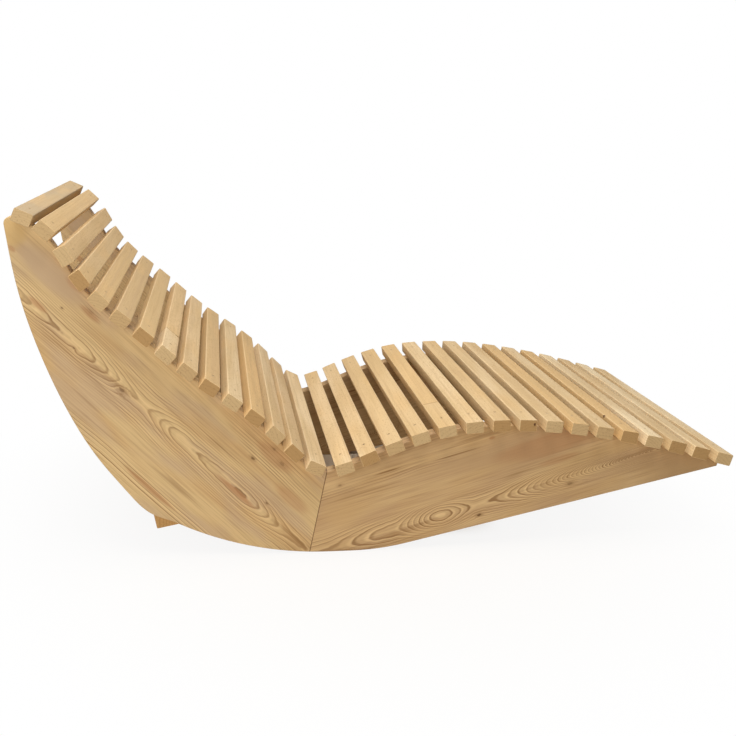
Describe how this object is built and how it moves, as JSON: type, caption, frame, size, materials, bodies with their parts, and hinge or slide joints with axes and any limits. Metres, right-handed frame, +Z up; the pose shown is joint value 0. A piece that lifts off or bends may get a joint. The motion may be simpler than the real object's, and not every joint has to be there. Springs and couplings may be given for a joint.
{
  "type": "rocking lounger",
  "caption": "Reclining wooden rocking lounger with cross slats on curved side panels whose lower edges are the rockers.",
  "frame": {"origin": "on the floor, under the middle of the lounger's bounding box", "axes": "+X towards the foot end, +Y towards the sitter's left panel, +Z up"},
  "size_m": [1.827, 0.8, 0.8933],
  "materials": {
    "slats": "fine-sawn, unvarnished",
    "boards": "planed, unvarnished",
    "rails": "planed, unvarnished",
    "dowels": "plain",
    "screws": "dull"
  },
  "bodies": {
    "root": {"slat_01": "slats", "slat_02": "slats", "slat_03": "slats", "slat_04": "slats", "slat_05": "slats", "slat_06": "slats", "slat_07": "slats", "slat_08": "slats", "slat_09": "slats", "slat_10": "slats", "slat_11": "slats", "slat_12": "slats", "slat_13": "slats", "slat_14": "slats", "slat_15": "slats", "slat_16": "slats", "slat_17": "slats", "slat_18": "slats", "slat_19": "slats", "slat_20": "slats", "slat_21": "slats", "slat_22": "slats", "slat_23": "slats", "slat_24": "slats", "slat_25": "slats", "slat_26": "slats", "slat_27": "slats", "slat_28": "slats", "slat_29": "slats", "slat_30": "slats", "slat_31": "slats", "right_back_board": "boards", "right_leg_board": "boards", "right_mitre_dowels": "dowels", "right_back_slat_screws": "screws", "right_leg_slat_screws": "screws", "left_back_board": "boards", "left_leg_board": "boards", "left_mitre_dowels": "dowels", "left_back_slat_screws": "screws", "left_leg_slat_screws": "screws", "stop_rail": "rails", "foot_rail": "rails", "stop_rail_dowels": "dowels", "foot_rail_dowels": "dowels"}
  },
  "joints": []
}
